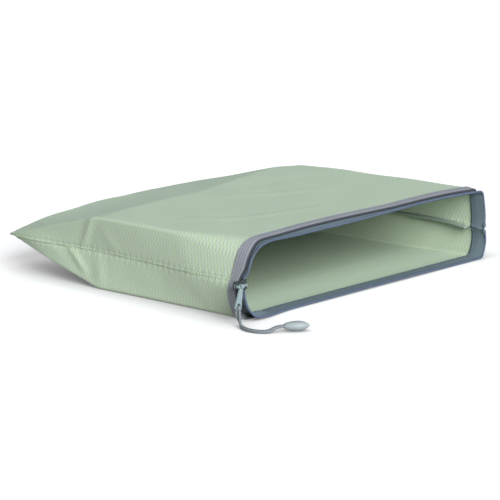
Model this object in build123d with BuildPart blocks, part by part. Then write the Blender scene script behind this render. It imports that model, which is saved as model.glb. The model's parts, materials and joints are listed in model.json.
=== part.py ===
"""Zippered mesh bag for cash and papers, standing open in the shape it takes when packed full.

Frame: X runs along the mouth, Y from the mouth to the back seam, Z up. The origin is under
the middle of the bag, slider and tab, on the surface that the bag stands on. Millimetres.
"""
import os
from math import atan, cos, pi, radians, sin, tan

from build123d import *

os.makedirs("parts", exist_ok=True)

# ---- Driving dimensions -------------------------------------------------------------------
# Bag, measured over the fabric.
mouth_width = 307.0        # between the side walls' upper corners
bag_height = 66.0          # where the load stood
bag_depth = 324.0          # mouth to back seam
fold_depth_left = 196.0    # mouth to the fold over the load's back edge, left side
fold_depth_right = 228.0   # the same on the right: the load lies a little askew
fabric = 1.0               # coated mesh
mouth_bulge = 10.0         # how far the side seams stand out at the mouth
fold_bulge = 2.0           # the same at the fold
mouth_corner_radius = 12.0
fold_corner_radius = 8.0
swell_height = 46.0        # height half way down the back slope, which is blown out a little
swell_inset = 9.0          # how far the swell's corners stand in from the walls
swell_corner_radius = 6.0
back_height = 4.0          # two fabrics and their turned seam
back_inset = 8.0           # the tips of the back seam draw in from the walls
back_corner_radius = 1.2
back_tip_run = 2.5         # the fabrics' faces start this far in from the tips
back_seam_depth = 3.0      # the two fabrics lie on each other here

# Ribbons and zip.
binding_width = 10.5
binding_thickness = 0.8
layer_gap = 0.1            # between sewn layers
panel_front = 9.5          # the panels' cut edge lies this far behind the mouth
zip_tape_thickness = 0.7
zip_tape_reach = 16.0      # how far the tape runs back under the panel
coil_diameter = 1.9
coil_depth = 1.0           # the coils' centre line behind the mouth plane
seam_binding_width = 6.0
seam_binding_thickness = 0.8
seam_binding_gap = 0.8     # from the seam's inner edge
seam_notch = 1.0           # the ribbons' ends stand this far apart at the side seams
strip_end_taper = 0.12     # the side ribbons' back ends draw in by this share of their cut-back

# Coils' way out of the slider, counted from its nose and from the seams.
coil_throat = 4.9          # where the two coils part
coil_exit_back = 1.1       # where they pass the slider's mouth
coil_exit_height = 3.0
coil_wall_height = 5.2     # where they reach the side wall
coil_bend_radius = 2.0

# Slider, crown and tab.
slider_tail_x = -20.5      # from the left wall line
slider_length = 13.0
slider_thickness = 4.6
slider_tail_width = 6.2
slider_shoulder_width = 9.8
slider_wall = 0.8
channel_height = 2.4
tape_slot = 1.1
slider_nose_length = 2.6   # from the shoulders to the nose
slider_nose_draw = 0.8     # the nose is narrower by this on each side
slider_corner_radius = 0.8
slider_edge = 0.35         # chamfer round both faces
flange_cut_back = 4.4      # the flanges end this far behind the nose
wedge_length = 3.5
wedge_back_length = 1.0    # behind the wedge's widest place
wedge_tip_half = 0.3
wedge_widest_half = 1.2
wedge_nose_half = 0.9
stop_length = 2.6
stop_edge_radius = 0.5
stop_height = 8.0          # the coils' end stops, above and below the seams
stop_wall = 0.55
crown_bar_diameter = 1.4
crown_leg_length = 1.1
crown_leg_width = 2.4
crown_edge_radius = 0.5
crown_set_back = 1.6       # the right leg stands this far inside the nose
eye_from_leg = 2.4         # from the left leg to the middle of the tab's eye
eye_bore = 2.6
eye_diameter = 4.2
eye_length = 3.4
eye_gap = 0.3              # between the eye and the slider's face
tab_lean = 15.0            # degrees, the loose eye lets the tab hang askew
tab_thickness = 1.4
tab_length = 20.4          # bar to the tab's lower end
tab_top_width = 3.6
tab_width = 8.0
tab_corner_radius = 2.5
tab_hole_width = 4.6
tab_hole_height = 4.2
tab_rim = 1.6              # metal left under the hole

# Cord and grip.
cord_diameter = 2.0
cord_loop_width = 4.4      # between the two strands where they pass the tab
strand_drop = 4.67         # both strands hang plumb over this height under the tab's rim
grip_length = 21.5
grip_width = 9.4
grip_height = 7.0
grip_clearance = 0.2       # under the grip
grip_place = (-8.5, -44.5)  # its cord end, from the mouth's left corner
grip_heading = (0.74, -0.67)
strand_gap = 0.2           # between the two strands inside the grip's end
strand_lead = 6.0          # they run in line with the grip over this length

# ---- Derived places ------------------------------------------------------------------------
pivot_x = slider_tail_x + crown_leg_length + eye_from_leg
tab_reach = (                                        # the tab's furthest point to the left
    -pivot_x
    + (tab_length - tab_corner_radius) * sin(radians(tab_lean))
    + (tab_width / 2 - tab_corner_radius) * cos(radians(tab_lean))
    + tab_corner_radius
)
wall_slope = atan(mouth_bulge / (bag_height / 2 - binding_thickness - layer_gap))
right_reach = mouth_bulge + (binding_thickness + layer_gap) / cos(wall_slope)
slider_front = slider_thickness / 2 - coil_depth     # the slider's face before the mouth plane
bar_front = slider_front + eye_gap + eye_diameter / 2
front_reach = bar_front + eye_diameter / 2
left_x = -(mouth_width + right_reach - tab_reach) / 2
mouth_y = -(bag_depth - front_reach) / 2
seam_z = bag_height / 2
coil_y = mouth_y + coil_depth
mouth_height = bag_height - 2 * (binding_thickness + layer_gap)
swell_depth_left = (fold_depth_left + bag_depth) / 2
swell_depth_right = (fold_depth_right + bag_depth) / 2


def station(depth_left, depth_right):
    """Upright plane across the bag; local x starts at the left wall line, local y is height."""
    run = Vector(mouth_width, depth_right - depth_left, 0).normalized()
    origin = (left_x, mouth_y + depth_left, 0)
    return Plane(origin=origin, x_dir=run, z_dir=(run.Y, -run.X, 0))


def bag_section(depths, seam_x, corner_x, height, radius, inset=0.0):
    """Six-sided section with rounded corners, its side points on the seams, drawn in by inset."""
    plane = station(*depths)
    stretch = 1 / plane.x_dir.X
    half = height / 2
    slope = atan((corner_x - seam_x) / half)
    side = seam_x + inset / cos(slope)
    corner = side + (half - inset) * tan(slope)
    low, high = seam_z - half + inset, seam_z + half - inset
    far = mouth_width
    points = [
        (side, seam_z), (corner, high), (far - corner, high),
        (far - side, seam_z), (far - corner, low), (corner, low),
    ]
    with BuildSketch(plane) as section:
        with BuildLine():
            Polyline(*[(x * stretch, z) for x, z in points], close=True)
        make_face()
        corners = section.vertices().filter_by(lambda v: abs(v.Y - seam_z) > half / 4)
        fillet(corners, max(radius - inset, radius / 4))
    return section.sketch


def mouth_section(depth, inset):
    """The section near the mouth, where every layer of the edge is the same all along."""
    return bag_section((depth, depth), -mouth_bulge, 0, mouth_height, mouth_corner_radius, inset)


def bag_form(front, back, inset):
    """Solid of the packed bag's shape, drawn in by inset; front and back are where it ends."""
    fold = (fold_depth_left, fold_depth_right)
    swell = (swell_depth_left, swell_depth_right)
    back_wall = 0.0 if inset == 0 else fabric + seam_binding_gap
    with BuildPart() as form:
        loft(
            sections=[
                mouth_section(front, inset),
                mouth_section(panel_front + binding_width, inset),
                bag_section(fold, -fold_bulge, 0, bag_height, fold_corner_radius, inset),
                bag_section(swell, fold_bulge, swell_inset, swell_height, swell_corner_radius, inset),
                bag_section((back, back), back_inset + back_wall, back_inset + back_wall + back_tip_run,
                            back_height, back_corner_radius),
            ],
            ruled=True,
        )
    return form.part


def half_of(whole, upper):
    """The part of a ring-shaped piece above or below the side seams."""
    with BuildPart() as half:
        add(whole)
        keep = Keep.TOP if upper else Keep.BOTTOM
        split(bisect_by=Plane.XY.offset(seam_z), keep=keep)
    return half


def band(front, back, outer, inner):
    """Ring that lines the mouth between two depths and two insets, parted at the side seams."""
    with BuildPart() as ring:
        extrude(mouth_section(back, outer), amount=back - front)
        extrude(mouth_section(back, inner), amount=back - front, mode=Mode.SUBTRACT)
        with Locations((left_x + mouth_width / 2, mouth_y + (front + back) / 2, seam_z)):
            Box(2 * mouth_width, back - front, seam_notch, mode=Mode.SUBTRACT)
    return ring.part


def save(builder, name):
    """Label one finished piece and write it to its own file."""
    builder.part.label = name
    export_step(builder.part, f"parts/{name}.step")


# ---- Panels: one sheet of mesh above the seams and one below, sewn along both sides and back -
with BuildPart() as bag_shell:
    add(bag_form(panel_front, bag_depth, 0.0))
    add(bag_form(panel_front - fabric, bag_depth - back_seam_depth, fabric), mode=Mode.SUBTRACT)
save(half_of(bag_shell.part, True), "upper_panel")
save(half_of(bag_shell.part, False), "lower_panel")

# ---- Edge bindings: woven ribbon over the panels' cut edge, outside -------------------------
binding_back = panel_front + binding_width
binding_ring = band(panel_front, binding_back, -(binding_thickness + layer_gap), -layer_gap)
save(half_of(binding_ring, True), "upper_binding")
save(half_of(binding_ring, False), "lower_binding")

# ---- Zip tapes: inside the panels, from the coils back under the edge ------------------------
tape_front = coil_depth + coil_diameter / 2 + layer_gap
tape_outer = fabric + layer_gap
tape_inner = tape_outer + zip_tape_thickness
with BuildPart() as tape_ring:
    add(band(tape_front, zip_tape_reach, tape_outer, tape_inner))
    slider_room = slider_thickness / 2 + coil_depth + 2 * eye_gap
    with Locations((left_x + slider_tail_x / 2, mouth_y + slider_room / 2, seam_z)):
        Box(abs(slider_tail_x), slider_room, slider_shoulder_width + 4 * eye_gap, mode=Mode.SUBTRACT)
save(half_of(tape_ring.part, True), "upper_zip_tape")
save(half_of(tape_ring.part, False), "lower_zip_tape")

# ---- Coils: one along each tape's edge, side by side inside the slider -----------------------
coil_inset = (tape_outer + tape_inner) / 2
side_slope = atan(mouth_bulge / (mouth_height / 2))
coil_side = -mouth_bulge + coil_inset / cos(side_slope)
coil_high = mouth_height / 2 - coil_inset
coil_corner = coil_side + coil_high * tan(side_slope)
coil_radius = coil_diameter / 2
coil_pair = coil_radius + layer_gap / 2                # from the seam line to a closed coil
coil_start = slider_tail_x + stop_length + 2 * eye_gap
nose_x = slider_tail_x + slider_length


def coil_point(x, height, upward):
    """A point of a coil's centre line; height is counted from the seams, up or down."""
    return (left_x + x, coil_y, seam_z + upward * height)


def side_x(height):
    """Where the coil runs on the slanting left wall at a height above the seams."""
    return coil_side + height * tan(side_slope)


def make_coil(upward):
    """Round cord along the mouth's edge, whose left end turns in between the slider's plates."""
    route = [
        coil_point(coil_start, coil_pair, upward),
        coil_point(nose_x - coil_throat, coil_pair, upward),
        coil_point(nose_x - coil_exit_back, coil_exit_height, upward),
        coil_point(side_x(coil_wall_height), coil_wall_height, upward),
        coil_point(coil_corner, coil_high, upward),
        coil_point(mouth_width - coil_corner, coil_high, upward),
        coil_point(mouth_width - side_x(coil_pair), coil_pair, upward),
    ]
    corner_radius = mouth_corner_radius - coil_inset
    radii = 3 * [coil_bend_radius] + 2 * [corner_radius]
    with BuildPart() as coil:
        with BuildLine():
            path = FilletPolyline(*route, radius=radii)
        with BuildSketch(Plane(origin=path @ 0, z_dir=path % 0)):
            Circle(coil_radius)
        sweep()
    return coil


save(make_coil(1), "upper_coil")
save(make_coil(-1), "lower_coil")

# ---- Zip stops: one crimped over both coils behind the slider, one on each coil's right end --
with BuildPart() as bottom_stop:
    stop_x = slider_tail_x + eye_gap + stop_length / 2
    with Locations((left_x + stop_x, coil_y, seam_z)):
        Box(stop_length, channel_height - 2 * layer_gap, 2 * coil_diameter + layer_gap)
    fillet(bottom_stop.edges().filter_by(Axis.X), stop_edge_radius)
save(bottom_stop, "bottom_stop")

with BuildPart() as top_stops:
    for upward in (1, -1):
        centre = coil_point(mouth_width - side_x(stop_height), stop_height, upward)
        along = (-sin(side_slope), 0, upward * cos(side_slope))
        bore = coil_diameter + 2 * layer_gap
        with BuildSketch(Plane(origin=centre, x_dir=(0, 1, 0), z_dir=along)):
            RectangleRounded(bore + 2 * stop_wall, bore + 2 * stop_wall, stop_wall)
            Circle(bore / 2, mode=Mode.SUBTRACT)
            with Locations((0.9 * bore, 0)):           # open towards the tape
                Rectangle(bore, 2 * bore, mode=Mode.SUBTRACT)
        extrude(amount=stop_length / 2, both=True)
save(top_stops, "top_stops")

# ---- Seam bindings: narrow ribbon over the raw edges, inside along both sides and the back ---
seam_plane = Plane.XY.offset(seam_z - seam_binding_thickness / 2)
seam_line = [                                          # the inner edge of the left side seam
    (-mouth_bulge + fabric / cos(side_slope), binding_back),
    (-fold_bulge + fabric, fold_depth_left),
    (fold_bulge + fabric / cos(atan(2 * (swell_inset - fold_bulge) / swell_height)), swell_depth_left),
    (back_inset + fabric + seam_binding_gap, bag_depth - back_seam_depth),
]


def seam_strip(side):
    """Flat strip beside one side seam; side is -1 for the left one and 1 for the right one."""
    outer, inner = [], []
    for x, y in seam_line:
        skew = 0.0
        if side > 0 and y not in (seam_line[0][1], seam_line[-1][1]):
            share = (bag_depth - y) / (bag_depth - fold_depth_left)
            skew = (fold_depth_right - fold_depth_left) * share
        back_off = seam_binding_width + seam_binding_gap if y == seam_line[-1][1] else 0.0
        for row, gap in ((outer, seam_binding_gap), (inner, seam_binding_gap + seam_binding_width)):
            distance = x + gap + back_off * strip_end_taper
            place = distance if side < 0 else mouth_width - distance
            row.append((left_x + place, mouth_y + y + skew - back_off - seam_binding_gap))
    with BuildPart() as strip:
        with BuildSketch(seam_plane):
            with BuildLine():
                Polyline(*outer, *reversed(inner), close=True)
            make_face()
        extrude(amount=seam_binding_thickness)
    return strip


save(seam_strip(-1), "left_seam_binding")
save(seam_strip(1), "right_seam_binding")

with BuildPart() as back_seam_binding:
    strip_x = back_inset + fabric + 2 * seam_binding_gap
    strip_y = bag_depth - back_seam_depth - seam_binding_gap - seam_binding_width / 2
    with Locations((left_x + mouth_width / 2, mouth_y + strip_y, seam_z)):
        Box(mouth_width - 2 * strip_x, seam_binding_width, seam_binding_thickness)
save(back_seam_binding, "back_seam_binding")

# ---- Slider: die-cast body, two plates joined by a wedge, with room for the coils -------------
slider_plane = Plane(
    origin=(left_x, coil_y, seam_z), x_dir=(1, 0, 0), z_dir=(0, -1, 0)
)                                                      # local x along the zip, local y up


def slider_outline(margin, ends):
    """Corners of the plates' outline: a narrow tail, wide shoulders, a slightly drawn-in nose."""
    tail, shoulder = slider_tail_width / 2 - margin, slider_shoulder_width / 2 - margin
    start, end = slider_tail_x - ends, nose_x + ends
    neck_x, shoulder_x = slider_tail_x + slider_length / 2, nose_x - slider_nose_length
    upper = [(start, tail), (neck_x, tail), (shoulder_x, shoulder), (end, shoulder - slider_nose_draw)]
    return upper + [(x, -z) for x, z in reversed(upper)]


with BuildPart() as slider_body:
    with BuildSketch(slider_plane) as plates:
        with BuildLine():
            Polyline(*slider_outline(0.0, 0.0), close=True)
        make_face()
        fillet(plates.vertices(), slider_corner_radius)
    extrude(amount=slider_thickness / 2, both=True)
    with BuildSketch(slider_plane):
        with BuildLine():
            Polyline(*slider_outline(slider_wall, 1.0), close=True)
        make_face()
    extrude(amount=channel_height / 2, both=True, mode=Mode.SUBTRACT)
    with BuildSketch(slider_plane):
        with Locations((slider_tail_x + slider_length / 2, 0)):
            Rectangle(slider_length + 2, slider_shoulder_width + 2)
    extrude(amount=tape_slot / 2, both=True, mode=Mode.SUBTRACT)
    with BuildSketch(slider_plane):                    # the flanges end where the coils leave
        with Locations((nose_x, 0)):
            Rectangle(2 * flange_cut_back, slider_shoulder_width + 2)
    extrude(amount=channel_height / 2, both=True, mode=Mode.SUBTRACT)
    with BuildSketch(slider_plane):                    # the wedge that parts the coils
        with BuildLine():
            wedge = [
                (nose_x - wedge_length, wedge_tip_half),
                (nose_x - wedge_back_length, wedge_widest_half),
                (nose_x, wedge_nose_half),
            ]
            Polyline(*wedge, *[(x, -z) for x, z in reversed(wedge)], close=True)
        make_face()
    extrude(amount=channel_height / 2 + layer_gap, both=True)
    rims = slider_body.faces().filter_by(Axis.Y)
    outer_faces = [rims.sort_by(Axis.Y)[0], rims.sort_by(Axis.Y)[-1]]
    chamfer([edge for face in outer_faces for edge in face.edges()], slider_edge)
save(slider_body, "slider_body")

# ---- Crown: staked on the slider's face, its round bar carries the tab ------------------------
bar_y = mouth_y - bar_front
bar_left = slider_tail_x + crown_leg_length / 2
bar_right = nose_x - crown_set_back - 3 * crown_leg_length / 2
with BuildPart() as slider_crown:
    for leg_x in (bar_left, bar_right):
        with BuildSketch(Plane.XY.offset(seam_z)):
            leg_depth = bar_front - slider_front + crown_bar_diameter / 2
            with Locations((left_x + leg_x, mouth_y - slider_front - leg_depth / 2)):
                Rectangle(crown_leg_length, leg_depth)
        extrude(amount=crown_leg_width / 2, both=True)
    fillet(slider_crown.edges().filter_by(Axis.X).group_by(Axis.Y)[0], crown_edge_radius)
    bar_centre = (left_x + (bar_left + bar_right) / 2, bar_y, seam_z)
    with BuildSketch(Plane(origin=bar_centre, z_dir=(1, 0, 0))):
        Circle(crown_bar_diameter / 2)
    extrude(amount=(bar_right - bar_left) / 2, both=True)
save(slider_crown, "slider_crown")

# ---- Tab: flat pull hanging from a rolled eye round the crown's bar ---------------------------
pivot = Vector(left_x + pivot_x, bar_y, seam_z)
lean = radians(tab_lean)
tab_plane = Plane(origin=pivot, x_dir=(cos(lean), 0, -sin(lean)), z_dir=(0, -1, 0))
hole_bottom = tab_length - tab_rim
with BuildPart() as pull_tab:
    with BuildSketch(tab_plane) as plate:
        with BuildLine():
            plate_top = -(eye_bore + eye_diameter) / 4 + layer_gap
            Polyline(
                (-tab_top_width / 2, plate_top), (tab_top_width / 2, plate_top),
                (tab_width / 2, -tab_length), (-tab_width / 2, -tab_length), close=True,
            )
        make_face()
        fillet(plate.vertices().group_by(Axis.Y)[0], tab_corner_radius)
        with BuildLine():
            arch_y = -hole_bottom + tab_hole_height - tab_hole_width / 2
            Polyline((-tab_hole_width / 2, arch_y), (-tab_hole_width / 2, -hole_bottom),
                     (tab_hole_width / 2, -hole_bottom), (tab_hole_width / 2, arch_y))
            ThreePointArc((tab_hole_width / 2, arch_y), (0, -hole_bottom + tab_hole_height),
                          (-tab_hole_width / 2, arch_y))
        make_face(mode=Mode.SUBTRACT)
    extrude(amount=tab_thickness / 2, both=True)
    with BuildSketch(Plane(origin=pivot, z_dir=tab_plane.x_dir)):
        Circle(eye_diameter / 2)
    extrude(amount=eye_length / 2, both=True)
    with BuildSketch(Plane(origin=pivot, z_dir=tab_plane.x_dir)):
        Circle(eye_bore / 2)
    extrude(amount=tab_top_width, both=True, mode=Mode.SUBTRACT)
save(pull_tab, "pull_tab")

# ---- Cord: one length, from the grip through the tab's hole and back to the grip --------------
rim_distance = tab_length - tab_rim / 2
rim = pivot + Vector(-sin(lean), 0, -cos(lean)) * rim_distance
loop_half = cord_loop_width / 2
loop_top = rim.Z + loop_half
front_y, rear_y = rim.Y - loop_half, rim.Y + loop_half
cord_z = cord_diameter / 2
strand_z = rim.Z - strand_drop


def floor_point(x, y):
    """A point of the cord that lies on the surface, measured from the mouth's left corner."""
    return (left_x + x, mouth_y + y, cord_z)


grip_root = Vector(left_x + grip_place[0], mouth_y + grip_place[1], grip_clearance + grip_height / 2)
grip_way = Vector(*grip_heading, 0).normalized()
across = Vector(grip_way.Y, -grip_way.X, 0)
strand_half = (cord_diameter + strand_gap) / 2
outer_end = grip_root + across * strand_half
inner_end = grip_root - across * strand_half
straight_in = grip_way * strand_lead                    # the strands enter the grip side by side
front_strand = [
    tuple(outer_end),
    tuple(outer_end - straight_in),
    floor_point(-22.4, -40.6),
    floor_point(-29.6, -35.6),
    floor_point(-32.6, -28.0),
    floor_point(-31.6, -19.6),
    (left_x - 27.6, mouth_y - 12.4, 1.4),
    (left_x - 24.2, mouth_y - 8.2, 4.4),
    (rim.X - 0.4, front_y - 0.2, strand_z),
]
loop = [
    (rim.X, front_y, loop_top),
    (rim.X, rear_y, loop_top),
]
rear_strand = [
    (rim.X - 0.4, rear_y - 0.4, strand_z),
    (left_x - 22.4, mouth_y - 5.6, 4.4),
    (left_x - 25.4, mouth_y - 10.8, 1.4),
    floor_point(-29.2, -19.0),
    floor_point(-30.1, -27.4),
    floor_point(-27.6, -33.6),
    floor_point(-21.6, -37.6),
    tuple(inner_end - straight_in),
    tuple(inner_end),
]
route = [Vector(*point) for point in front_strand + loop + rear_strand]


def bend_radii(points):
    """The largest arc that each corner's two runs allow."""
    radii = []
    for before, here, after in zip(points, points[1:], points[2:]):
        turn = radians((here - before).get_angle(after - here))
        run = min((here - before).length, (after - here).length)
        radii.append(0.45 * run / tan(turn / 2))
    return radii


cord_radii = bend_radii(route)
with BuildPart() as pull_cord:
    with BuildLine():
        cord_path = FilletPolyline(*route, radius=cord_radii)
    with BuildSketch(Plane(origin=cord_path @ 0, z_dir=cord_path % 0)):
        Circle(cord_diameter / 2)
    sweep()
save(pull_cord, "pull_cord")
cord_area = pi * cord_diameter**2 / 4
print("cord length", round(cord_path.length, 2), "volume share",
      round(pull_cord.part.volume / (cord_area * cord_path.length), 4))
print("cord radii", [round(radius, 1) for radius in cord_radii])

# ---- Grip: moulded drop that holds both ends of the cord ---------------------------------------
grip_plane = Plane(origin=grip_root, x_dir=across, z_dir=grip_way)
grip_profile = [                                        # share of length, of width, of height
    (0.0, 0.62, 0.56), (0.16, 0.8, 0.84), (0.42, 1.0, 1.0), (0.74, 0.86, 0.84), (0.97, 0.34, 0.36),
]
with BuildPart() as cord_grip:
    for share, wide, high in grip_profile:
        with BuildSketch(grip_plane.offset(share * grip_length)):
            Ellipse(wide * grip_width / 2, high * grip_height / 2)
    loft()
save(cord_grip, "cord_grip")

print("mouth corner", round(left_x, 3), round(mouth_y, 3), "bar", [round(v, 3) for v in pivot], "rim",
      [round(v, 3) for v in rim])
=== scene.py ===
"""Zippered mesh bag for cash and papers, standing open in the shape it takes when packed full.

Metres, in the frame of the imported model: X runs along the mouth, Y from the mouth to the back
seam, Z up from the surface that the bag stands on.
"""
import json
import math

import bmesh
import bpy
import numpy as np
from mathutils import Matrix, Vector

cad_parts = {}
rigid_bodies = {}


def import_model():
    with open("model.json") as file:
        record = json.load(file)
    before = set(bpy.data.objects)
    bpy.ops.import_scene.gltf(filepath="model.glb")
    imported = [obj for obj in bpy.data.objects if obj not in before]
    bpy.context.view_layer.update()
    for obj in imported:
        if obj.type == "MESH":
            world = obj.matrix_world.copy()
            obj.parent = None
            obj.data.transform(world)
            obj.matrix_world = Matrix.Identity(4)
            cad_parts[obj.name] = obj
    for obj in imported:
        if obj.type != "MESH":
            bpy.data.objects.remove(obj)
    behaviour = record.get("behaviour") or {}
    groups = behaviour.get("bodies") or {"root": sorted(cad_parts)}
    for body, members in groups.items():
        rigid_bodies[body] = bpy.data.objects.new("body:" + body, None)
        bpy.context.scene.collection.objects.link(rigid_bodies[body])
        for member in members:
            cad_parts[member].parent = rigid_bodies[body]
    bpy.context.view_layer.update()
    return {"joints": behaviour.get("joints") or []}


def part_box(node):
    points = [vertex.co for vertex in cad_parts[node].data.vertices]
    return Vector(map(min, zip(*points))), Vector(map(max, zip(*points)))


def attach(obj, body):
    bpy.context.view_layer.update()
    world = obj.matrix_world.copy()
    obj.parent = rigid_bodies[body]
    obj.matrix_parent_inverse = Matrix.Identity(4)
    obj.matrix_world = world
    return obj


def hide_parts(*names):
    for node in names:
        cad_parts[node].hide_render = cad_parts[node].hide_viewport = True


for leftover in list(bpy.data.objects):
    bpy.data.objects.remove(leftover)
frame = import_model()
scene = bpy.context.scene
scene.view_settings.view_transform = "Standard"

# ---- Camera ----------------------------------------------------------------------------------
# A long lens, low over the mouth's left corner, that looks along the mouth and a little down.
camera_place = (-1.70675, -1.67526, 0.52762)
camera_yaw = math.radians(44.204)
camera_pitch = math.radians(12.101)
camera_roll = math.radians(-1.313)
lens_length = 188.92

ahead = Vector((
    math.cos(camera_yaw) * math.cos(camera_pitch),
    math.sin(camera_yaw) * math.cos(camera_pitch),
    -math.sin(camera_pitch),
))
level_right = Vector((math.sin(camera_yaw), -math.cos(camera_yaw), 0))
level_up = level_right.cross(ahead)
camera_right = math.cos(camera_roll) * level_right + math.sin(camera_roll) * level_up
camera_up = math.cos(camera_roll) * level_up - math.sin(camera_roll) * level_right
camera = bpy.data.objects.new("camera", bpy.data.cameras.new("camera"))
camera.data.sensor_width = 36
camera.data.lens = lens_length
camera.matrix_world = Matrix.LocRotScale(
    Vector(camera_place),
    Matrix((camera_right, camera_up, -ahead)).transposed(),
    None,
)
scene.collection.objects.link(camera)
scene.camera = camera

# ---- Pull cord -------------------------------------------------------------------------------
# One length of thin braided cord, doubled through the tab's hole. It hangs from the tab's rim,
# turns on the table and runs to the grip, where both ends are moulded in.
mm = 0.001
wall_swell = 10 * mm  # the left wall past its upper corner
mouth_to_back = 324 * mm
panel_low, panel_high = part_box("upper_panel")
mouth_left = panel_low.x + wall_swell
mouth_front = panel_high.y - mouth_to_back  # the plane of the mouth
joints = {joint["name"]: joint for joint in frame["joints"]}
rim = Vector(joints["cord_hang"]["pos_m"])  # the cord's place on the tab's rim

cord_diameter = 2.4 * mm
strand_half = 1.25 * mm  # from the grip's middle to each strand
loop_half = 2.2 * mm  # the same where they pass the tab
strand_drop = 4.67 * mm  # plumb under the rim
strand_lead = 6.0 * mm  # in line with the grip
grip_root = Vector((mouth_left - 12.0 * mm, mouth_front - 48.0 * mm, 4.4 * mm))
grip_way = Vector((0.74, -0.67, 0)).normalized()
grip_across = Vector((grip_way.y, -grip_way.x, 0))


def near_mouth(x, y, z=cord_diameter / 2 / mm):
    """A place in millimetres from the mouth's left corner, as a point in the frame."""
    return Vector((mouth_left + x * mm, mouth_front + y * mm, z * mm))


outer_end = grip_root + grip_across * strand_half
inner_end = grip_root - grip_across * strand_half
cord_route = [
    outer_end,
    outer_end - grip_way * strand_lead,
    near_mouth(-25.4, -44.0),
    near_mouth(-31.0, -37.6),
    near_mouth(-33.0, -28.6),
    near_mouth(-31.6, -19.6),
    near_mouth(-27.6, -12.4, 1.4),
    near_mouth(-24.2, -8.2, 4.4),
    rim + Vector((-0.4 * mm, -loop_half - 0.2 * mm, -strand_drop)),
    rim + Vector((0, -loop_half, loop_half)),
    rim + Vector((0, loop_half, loop_half)),
    rim + Vector((-0.4 * mm, loop_half - 0.4 * mm, -strand_drop)),
    near_mouth(-22.4, -5.6, 4.4),
    near_mouth(-25.4, -10.8, 1.4),
    near_mouth(-29.2, -19.0),
    near_mouth(-30.1, -27.4),
    near_mouth(-28.2, -35.0),
    near_mouth(-23.8, -40.6),
    inner_end - grip_way * strand_lead,
    inner_end,
]


def spline_points(route, detail):
    """Points along the smooth curve that the route's points control."""
    data = bpy.data.curves.new("route", "CURVE")
    data.dimensions = "3D"
    spline = data.splines.new("NURBS")
    spline.points.add(len(route) - 1)
    for point, place in zip(spline.points, route):
        point.co = (*place, 1)
    spline.order_u = 3
    spline.use_endpoint_u = True
    spline.resolution_u = detail
    holder = bpy.data.objects.new("route", data)
    mesh = bpy.data.meshes.new_from_object(holder)
    points = np.array([vertex.co[:] for vertex in mesh.vertices])
    bpy.data.meshes.remove(mesh)
    bpy.data.curves.remove(data)
    return points


def lengths_along(points):
    """How far along the line each of its points is."""
    return np.concatenate([[0], np.cumsum(np.linalg.norm(np.diff(points, axis=0), axis=1))])


def spaced(points, step):
    """The line again with points one step apart."""
    along = lengths_along(points)
    wanted = np.linspace(0, along[-1], max(2, round(along[-1] / step) + 1))
    return np.stack([np.interp(wanted, along, points[:, axis]) for axis in range(3)], axis=1)


def grid_mesh(name, grid, uv, closed=False):
    """Mesh over rows of points, with a UV map in metres. A closed one joins each row's two ends
    and is capped at its first and last rows."""
    rows, columns = grid.shape[:2]
    faces, loops_uv = [], []
    for row in range(rows - 1):
        for column in range(columns if closed else columns - 1):
            after = (column + 1) % columns
            corners = [(row, column), (row, after), (row + 1, after), (row + 1, column)]
            faces.append([r * columns + c for r, c in corners])
            edge_u = column + 1
            loops_uv += [uv[row, column], uv[row, edge_u], uv[row + 1, edge_u], uv[row + 1, column]]
    if closed:
        faces.append(list(range(columns)))
        faces.append([(rows - 1) * columns + c for c in reversed(range(columns))])
        loops_uv += [uv[0, c] for c in range(columns)]
        loops_uv += [uv[-1, c] for c in reversed(range(columns))]
    mesh = bpy.data.meshes.new(name)
    mesh.from_pydata(grid.reshape(-1, 3).tolist(), [], faces)
    layer = mesh.uv_layers.new(name="cut")
    layer.data.foreach_set("uv", np.array(loops_uv, float).ravel())
    mesh.update()
    return mesh


def outward(mesh):
    """Turn a closed mesh's faces to point outwards."""
    work = bmesh.new()
    work.from_mesh(mesh)
    bmesh.ops.recalc_face_normals(work, faces=work.faces)
    work.to_mesh(mesh)
    work.free()


def closed_mesh(name, grid, uv):
    """A capped tube over rings of points, its faces outwards."""
    mesh = grid_mesh(name, grid, uv, closed=True)
    outward(mesh)
    return mesh


def piece(name, mesh, body, material):
    """An object of the finished mesh, riding on its body, with its finish."""
    made = bpy.data.objects.new(name, mesh)
    scene.collection.objects.link(made)
    mesh.materials.clear()
    mesh.materials.append(material)
    mesh.shade_smooth()
    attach(made, body)
    return made


def tube(points, radius, sides, relief):
    """Rings round a line of points; relief gives each surface point's share of the radius."""
    ways = np.gradient(points, axis=0)
    ways /= np.linalg.norm(ways, axis=1, keepdims=True)
    side = np.cross(ways[0], (0.2, 0.1, 1.0))  # any way that no line here runs along
    turn = np.linspace(0, 2 * math.pi, sides + 1)
    grid, uv = [], []
    for point, way, far in zip(points, ways, lengths_along(points)):
        side = side - way * (side @ way)
        side /= np.linalg.norm(side)
        other = np.cross(way, side)
        reach = radius * relief(far, turn)
        ring = point + np.outer(np.cos(turn) * reach, side) + np.outer(np.sin(turn) * reach, other)
        grid.append(ring[:-1])
        uv.append(np.stack([turn * radius, np.full(sides + 1, far)], axis=1))
    return np.array(grid), np.array(uv)


def linear(value):
    """A colour channel from its 0 to 255 display value."""
    share = value / 255
    return share / 12.92 if share <= 0.04045 else ((share + 0.055) / 1.055) ** 2.4


def colour(red, green, blue):
    return (linear(red), linear(green), linear(blue), 1.0)


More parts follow.
